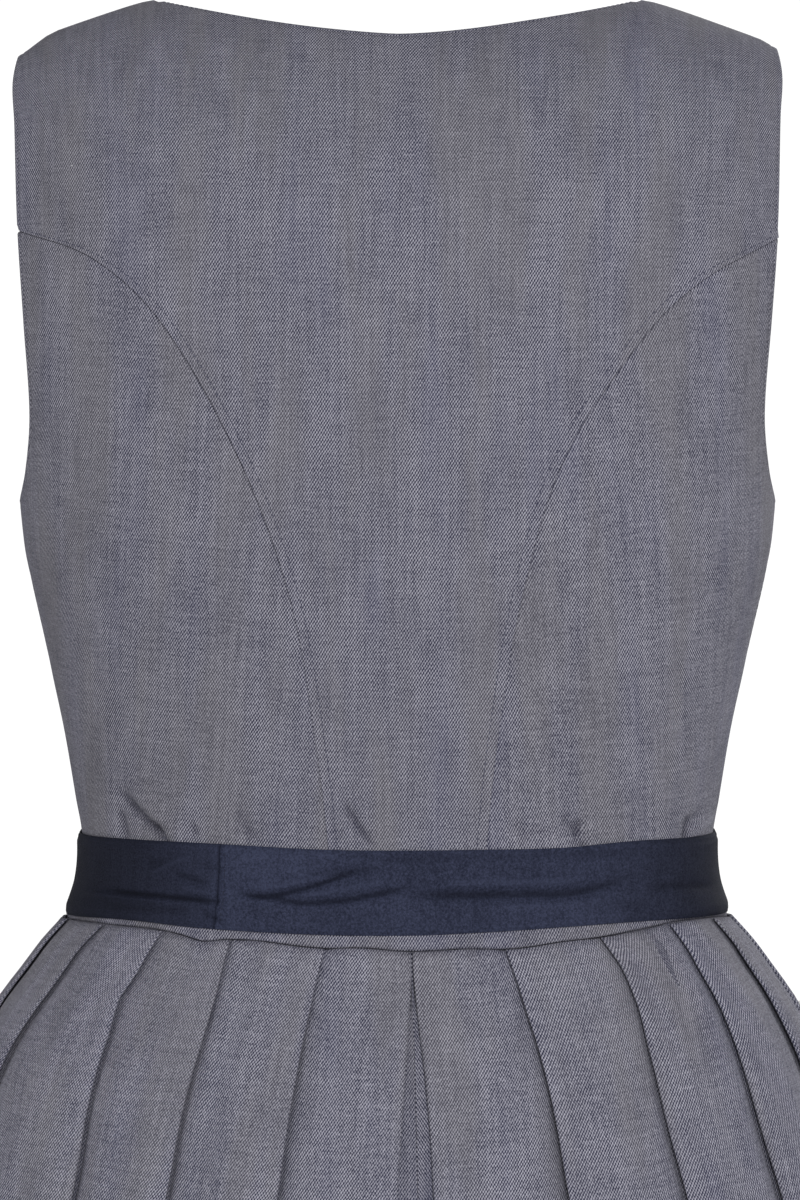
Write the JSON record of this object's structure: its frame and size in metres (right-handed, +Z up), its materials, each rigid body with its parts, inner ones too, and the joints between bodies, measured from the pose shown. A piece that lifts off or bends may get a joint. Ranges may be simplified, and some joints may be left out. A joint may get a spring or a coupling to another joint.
{
  "type": "dirndl",
  "caption": "Sleeveless dirndl, worn and hollow: fitted bodice with princess seams, flared knife-pleated skirt and a plain fabric belt at the waist.",
  "frame": {"origin": "midway between the two neck points, where the straps rest on the wearer's shoulders", "axes": "+Z up, -Y out of the wearer's chest, +Y out of the wearer's back, +X towards the wearer's left"},
  "size_m": [0.5842, 0.4704, 1.0593],
  "materials": {
    "twill": "matt two-tone twill, navy and pale lilac-grey yarns",
    "navy": "plain navy cloth with a faint sheen",
    "horn": "dark satin, like horn"
  },
  "bodies": {
    "root": {"back_centre": "twill", "side_back_left": "twill", "side_back_right": "twill", "front_side_left": "twill", "front_side_right": "twill", "front_centre_left": "twill", "front_centre_right": "twill", "skirt_left": "twill", "skirt_right": "twill", "belt_long": "navy", "belt_short": "navy", "button_1": "horn", "button_2": "horn", "button_3": "horn", "button_4": "horn", "button_5": "horn", "button_6": "horn", "button_7": "horn"}
  },
  "joints": []
}
